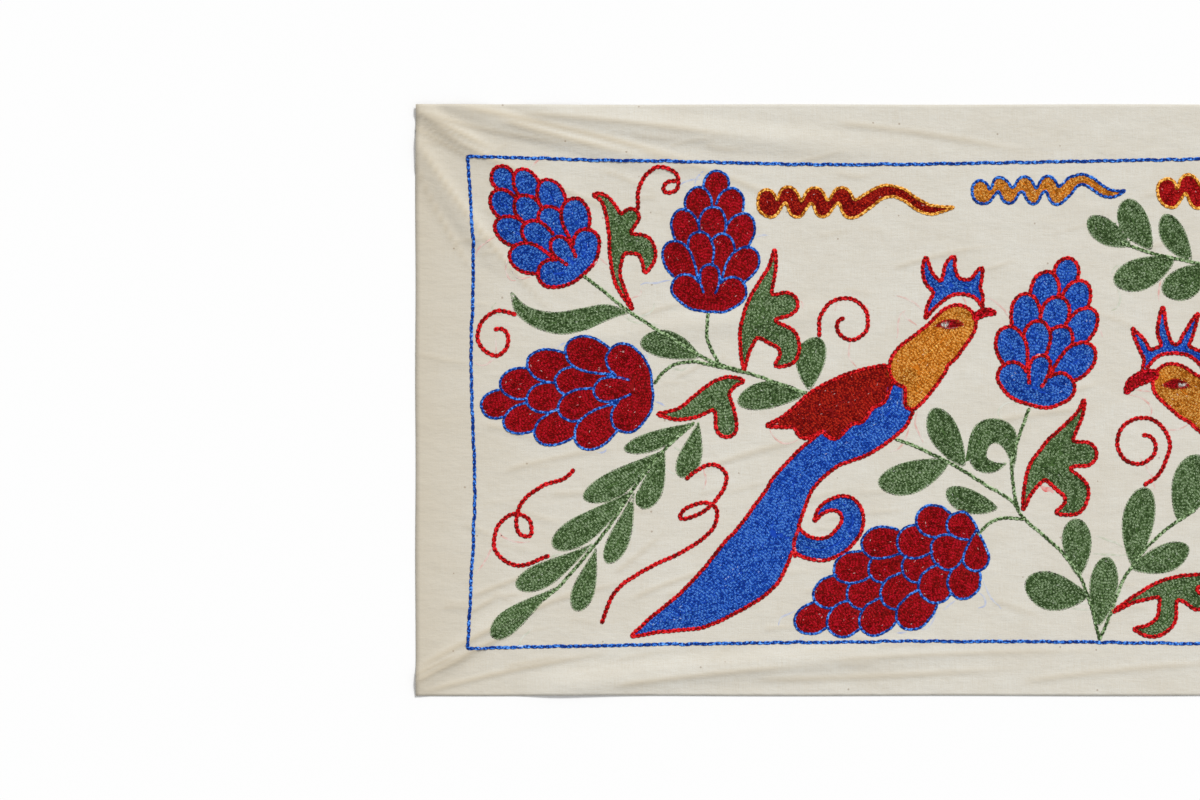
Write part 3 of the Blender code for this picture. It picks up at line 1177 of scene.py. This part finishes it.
def edge_places(cloth):
    """The cloth's grid of places, with edges that wander a little."""
    length, width, cell = cloth.length / MM, cloth.width / MM, cloth.cell / MM
    across, along = (2 * round(size / step / 2) + 1 for size, step in ((width, cell), (length, 2 * cell)))
    x, y = np.meshgrid(np.linspace(-0.5, 0.5, along) * length, np.linspace(-0.5, 0.5, across) * width)
    wander = cloth.edge_wander / MM
    reach = cloth.selvedge / MM
    x = x + (2 * x / length) ** 9 * (reach + wander * np.sin(0.041 * y + 0.7))
    y = y + (2 * y / width) ** 9 * (reach + wander * np.sin(0.023 * x + 1.9))
    return x + 1j * y


UNDER_OUTLINE = 0.8  # added to the depth under an outlined motif, as the outline hides its edge
NEARBY = 6  # how far from a motif its depth is worked out
FAR_OUT = -9.0  # depth of a place near no motif


def thread_cover(places):
    """How deep each place lies under a filling, in millimetres, and the colour of the thread over it,
    darkened as painted shade for the gaps between the stitches.
    """
    threads = bpy.context.scene.suzani_threads
    depth, colours = np.full(len(places), FAR_OUT), np.zeros((len(places), 4))
    for motif in drawing():
        if not motif.fill:
            continue
        near = np.flatnonzero(in_box_of(places, motif.line, NEARBY))
        if len(near):
            within = inside(places[near], motif.line)
            own = nearest(places[near], motif.line) * np.where(within, 1, -1)
            own = own + (UNDER_OUTLINE if motif.edge else 0)
            taken = within | (own > depth[near])
            depth[near[taken]] = own[taken]
            main = getattr(threads, motif.fill)
            # the thread's colour darkened, as painted shade in the gaps between the stitches
            colours[near[taken]] = (*(value**1.6 * 0.6 for value in main), 1)
    return depth, colours


def grid_triangles(index):
    a, b, c, d = index[:-1, :-1], index[:-1, 1:], index[1:, 1:], index[1:, :-1]
    return np.concatenate([np.stack([a, b, c], -1).reshape(-1, 3), np.stack([a, c, d], -1).reshape(-1, 3)])


def rim_of(index):
    return np.concatenate([index[0], index[1:, -1], index[-1, -2::-1], index[-2:0:-1, 0]])


def cloth_sheet(cloth):
    """The cotton as a thin closed sheet on its creases. Its back has half as many points each way."""
    grid = edge_places(cloth)
    face, back = grid.ravel(), grid[::2, ::2].ravel()
    heights = np.concatenate([cloth_lift(face) + cloth.thickness / MM, lift_of(MAIN_CREASES, back)])
    places = np.concatenate([face, back])
    face_index = np.arange(len(face)).reshape(grid.shape)
    back_index = len(face) + np.arange(len(back)).reshape(grid[::2, ::2].shape)
    upper, lower = rim_of(face_index), rim_of(back_index)
    a, b, c = upper[::2], upper[1::2], np.roll(upper, -2)[::2]
    d, e = lower, np.roll(lower, -1)
    rim = np.concatenate([np.stack(corners, -1) for corners in ((d, e, c), (d, c, b), (d, b, a))])
    faces = np.concatenate([grid_triangles(face_index), grid_triangles(back_index)[:, ::-1], rim])
    mesh = new_mesh("panel_cloth", np.stack([places.real, places.imag, heights], 1), faces)
    depth, colours = thread_cover(places)
    add_values(mesh, "cover", depth)
    # heights of the fine creases and puckers, which the cotton's material uses to paint shade along them
    add_values(mesh, "crease", lift_of(FINE_CREASES + puckers(), places))
    tint = mesh.attributes.new("shaded_thread_colour", "FLOAT_COLOR", "POINT")
    tint.data.foreach_set("color", colours.astype(np.float32).ravel())
    # The map's upper half holds the face, its lower half the back, and a strip between them the rim.
    length, width = np.ptp(places.real), np.ptp(places.imag)
    u = 0.01 + 0.98 * (places.real / length + 0.5)
    v = 0.01 + 0.47 * (places.imag / width + 0.5) + 0.51 * (np.arange(len(places)) < len(face))
    u, v = u[faces], v[faces]
    turn = (np.arange(len(rim)) % len(d))[:, None] + np.array([[0, 1, 1]])
    u[-len(rim):] = 0.01 + 0.98 * turn / len(d)
    v[-len(rim):] = np.array([0.487, 0.487, 0.513])
    add_bake_map(mesh, u, v)
    return mesh


# Where the red of an outline has run into the cotton.
DYE_STAIN = ((-70, -73), (-66, -76), (-62, -76), (-59, -79))
STAIN_WIDTH = 4.2
# Threads whose ends show in another colour than their own.
END_THREADS = {"crimson": "scarlet", "brick": "scarlet", "ochre": "scarlet"}
END_BENDS = 14
END_LIFT = 0.06  # how far a strip lies over the cloth


def thread_end_line(rng, start, length):
    """A curly end of thread."""
    heading = rng.uniform(0, 2 * pi)
    curl = rng.normal(0, 2.0) * np.linspace(0.1, 1, END_BENDS) ** 2 + rng.normal(0, 0.8, END_BENDS)
    steps = length / END_BENDS * np.exp(1j * (heading + np.cumsum(curl) / 6))
    line = start + np.concatenate([[0], np.cumsum(steps)])
    return curve_through([(p.real, p.imag) for p in line[::2]], 1.0)


def end_strip(line, width, cloth_top):
    """A flat strip along a line: its points and faces."""
    heading = np.gradient(line)
    share = np.linspace(0, 1, len(line))
    side = 1j * heading / np.abs(heading) * width / 2 * (0.35 + 0.65 * np.sin(pi * share))
    places = np.stack([line - side, line + side], 1).ravel()
    z = cloth_lift(places) + cloth_top + END_LIFT
    first = 2 * np.arange(len(line) - 1)[:, None]
    return np.stack([places.real, places.imag, z], 1), first + np.array([[0, 2, 3, 1]])


def end_material(name, colour, low, high):
    """Thread seen through the cotton, or dye that has run: from a low to a high share of its colour."""
    material, tree, shader = new_material(name)
    cotton = tuple(bpy.context.scene.suzani_cloth.cotton)
    place = own_place(tree)
    noise = add_node(tree, "ShaderNodeTexNoise", {"Vector": place, "Scale": 160.0, "Detail": 2.0}).outputs[0]
    stops = ((0.35, blended(cotton, colour, low)), (0.65, blended(cotton, colour, high)))
    tree.links.new(colour_ramp(tree, noise, stops), shader.inputs["Base Color"])
    set_finish(shader, 0.95, 0.1)
    return material


class SUZANI_OT_lay_cloth(bpy.types.Operator):
    """Lay the cotton panel with its creases"""

    bl_idname = "suzani.lay_cloth"
    bl_label = "Lay Cloth"

    def execute(self, context):
        cloth = context.scene.suzani_cloth
        piece = show("panel_cloth", cloth_sheet(cloth), cotton_material())
        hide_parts("ground_cloth")
        return {"FINISHED"}


class SUZANI_OT_stitch_border(bpy.types.Operator):
    """Work the border line in open chain stitch"""

    bl_idname = "suzani.stitch_border"
    bl_label = "Stitch Border"

    def execute(self, context):
        stitch = context.scene.suzani_stitch
        stitch_kind("border", stitch.border_pitch, stitch.border_width)
        return {"FINISHED"}


class SUZANI_OT_stitch_leaves(bpy.types.Operator):
    """Work the stems, the plain leaves and the leaves with thorns"""

    bl_idname = "suzani.stitch_leaves"
    bl_label = "Stitch Stems and Leaves"

    def execute(self, context):
        stitch = context.scene.suzani_stitch
        stitch_kind("stem", stitch.edge_pitch, stitch.stem_width)
        stitch_kind("leaf", stitch.edge_pitch, stitch.stem_width)
        stitch_kind("thorn_leaf", stitch.edge_pitch, stitch.edge_width)
        return {"FINISHED"}


class SUZANI_OT_stitch_grapes(bpy.types.Operator):
    """Work the clusters of grapes"""

    bl_idname = "suzani.stitch_grapes"
    bl_label = "Stitch Grapes"

    def execute(self, context):
        stitch = context.scene.suzani_stitch
        stitch_kind("grapes", stitch.edge_pitch, stitch.edge_width)
        return {"FINISHED"}


class SUZANI_OT_stitch_birds(bpy.types.Operator):
    """Work the birds"""

    bl_idname = "suzani.stitch_birds"
    bl_label = "Stitch Birds"

    def execute(self, context):
        stitch = context.scene.suzani_stitch
        stitch_kind("bird", stitch.edge_pitch, stitch.edge_width)
        return {"FINISHED"}


class SUZANI_OT_stitch_ribbons(bpy.types.Operator):
    """Work the wavy ribbons and the curling tendrils"""

    bl_idname = "suzani.stitch_ribbons"
    bl_label = "Stitch Ribbons and Tendrils"

    def execute(self, context):
        stitch = context.scene.suzani_stitch
        stitch_kind("ribbon", stitch.edge_pitch, stitch.edge_width)
        stitch_kind("tendril", stitch.edge_pitch, stitch.edge_width)
        return {"FINISHED"}


class SUZANI_OT_leave_thread_ends(bpy.types.Operator):
    """Leave the ends of thread that show through the cotton"""

    bl_idname = "suzani.leave_thread_ends"
    bl_label = "Leave Thread Ends"

    def execute(self, context):
        ends, cloth_top = context.scene.suzani_ends, context.scene.suzani_cloth.thickness / MM
        threads, slub_and_shade = context.scene.suzani_threads, tuple(context.scene.suzani_cloth.slub_and_shade)
        rng = np.random.default_rng(SEED)
        motifs = [motif for motif in drawing() if (motif.fill or motif.edge) and motif.kind != "border"]
        strips = {}
        for _ in range(ends.count):
            motif = motifs[rng.integers(len(motifs))]
            start = motif.line[rng.integers(len(motif.line))] + complex(*rng.normal(0, 5, 2))
            line = thread_end_line(rng, start, ends.end_length / MM * rng.uniform(0.6, 1.5))
            hidden = np.append(in_front(line, motifs, 2.0), True)
            first = int(np.argmin(hidden))
            line = line[first : first + int(np.argmax(hidden[first:]))]
            if len(line) > 6:
                thread = motif.edge or motif.fill
                thread = END_THREADS.get(thread, thread)
                strips.setdefault(thread, []).append(end_strip(line, ends.end_width / MM, cloth_top))
        for thread, made in strips.items():
            starts = np.cumsum([0] + [len(points) for points, _ in made])
            faces = np.concatenate([face + start for (_, face), start in zip(made, starts)])
            mesh = new_mesh(f"{thread}_ends", np.concatenate([points for points, _ in made]), faces)
            dulled = blended(tuple(getattr(threads, thread)), slub_and_shade, 0.42)
            seen_through = end_material(f"{thread}_end", dulled, 0.12, 0.6)
            show(f"{thread}_ends", mesh, seen_through)
        mesh = new_mesh("dye_stain", *end_strip(curve_through(DYE_STAIN, 0.6), STAIN_WIDTH, cloth_top))
        run_dye = end_material("run_dye", tuple(threads.scarlet), 0.15, 0.85)
        show("dye_stain", mesh, run_dye)
        return {"FINISHED"}


FLOOR_DROP = 0.0003  # how far the floor lies under the panel
SENSOR = 36
SUN_SPREAD = 0.22
SUN_TILT = (-42, 28, 0)


class SUZANI_OT_set_stage(bpy.types.Operator):
    """Set the plain floor, the soft light and the camera over the panel"""

    bl_idname = "suzani.set_stage"
    bl_label = "Set Stage"

    def execute(self, context):
        scene, stage = context.scene, context.scene.suzani_stage
        bpy.ops.mesh.primitive_plane_add(size=stage.floor_size, location=(stage.view_x, 0, -FLOOR_DROP))
        floor = context.active_object
        floor.name = "floor"
        material, _, shader = new_material("pale_floor")
        shader.inputs["Base Color"].default_value = (*stage.floor, 1)
        set_finish(shader, 1.0, 0.0)
        floor.data.materials.append(material)

        camera_data = bpy.data.cameras.new("camera")
        camera_data.sensor_width = SENSOR
        camera_data.lens = SENSOR * stage.camera_height / stage.view_width
        camera_data.clip_end = 100
        camera = bpy.data.objects.new("camera", camera_data)
        camera.location = (stage.view_x, 0, stage.camera_height)
        scene.collection.objects.link(camera)
        scene.camera = camera

        sun_data = bpy.data.lights.new("sun", "SUN")
        sun_data.energy = stage.sun
        sun_data.angle = SUN_SPREAD
        sun = bpy.data.objects.new("sun", sun_data)
        sun.rotation_euler = np.radians(SUN_TILT)
        scene.collection.objects.link(sun)

        world = bpy.data.worlds.new("even_light")
        world.use_nodes = True
        world.node_tree.nodes["Background"].inputs["Color"].default_value = (1, 1, 1, 1)
        world.node_tree.nodes["Background"].inputs["Strength"].default_value = stage.sky
        scene.world = world
        scene.view_settings.view_transform = "Standard"
        scene.view_settings.look = "None"
        return {"FINISHED"}


class SUZANI_PT_panel(bpy.types.Panel):
    """The steps that make the panel, in order"""

    bl_label = "Suzani Panel"
    bl_idname = "SUZANI_PT_panel"
    bl_space_type = "VIEW_3D"
    bl_region_type = "UI"
    bl_category = "Suzani"

    def draw(self, context):
        for group in SETTINGS:
            settings = getattr(context.scene, group)
            box = self.layout.box()
            box.label(text=settings.bl_rna.description or settings.bl_rna.name)
            for name in settings.__annotations__:
                box.prop(settings, name)
        for operator in OPERATORS:
            self.layout.operator(operator.bl_idname)


SETTINGS = {
    "suzani_cloth": ClothSettings,
    "suzani_stitch": StitchSettings,
    "suzani_threads": ThreadSettings,
    "suzani_ends": EndSettings,
    "suzani_stage": StageSettings,
}
OPERATORS = (
    SUZANI_OT_lay_cloth,
    SUZANI_OT_stitch_border,
    SUZANI_OT_stitch_leaves,
    SUZANI_OT_stitch_grapes,
    SUZANI_OT_stitch_birds,
    SUZANI_OT_stitch_ribbons,
    SUZANI_OT_leave_thread_ends,
    SUZANI_OT_set_stage,
)


def register():
    for cls in (*SETTINGS.values(), *OPERATORS, SUZANI_PT_panel):
        bpy.utils.register_class(cls)
    for name, cls in SETTINGS.items():
        setattr(bpy.types.Scene, name, PointerProperty(type=cls))


def unregister():
    for name in SETTINGS:
        delattr(bpy.types.Scene, name)
    for cls in reversed((*SETTINGS.values(), *OPERATORS, SUZANI_PT_panel)):
        bpy.utils.unregister_class(cls)


def main():
    register()
    bpy.ops.suzani.lay_cloth()
    bpy.ops.suzani.stitch_border()
    bpy.ops.suzani.stitch_leaves()
    bpy.ops.suzani.stitch_grapes()
    bpy.ops.suzani.stitch_birds()
    bpy.ops.suzani.stitch_ribbons()
    bpy.ops.suzani.leave_thread_ends()
    bpy.ops.suzani.set_stage()
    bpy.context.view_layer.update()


if __name__ == "__main__":
    main()
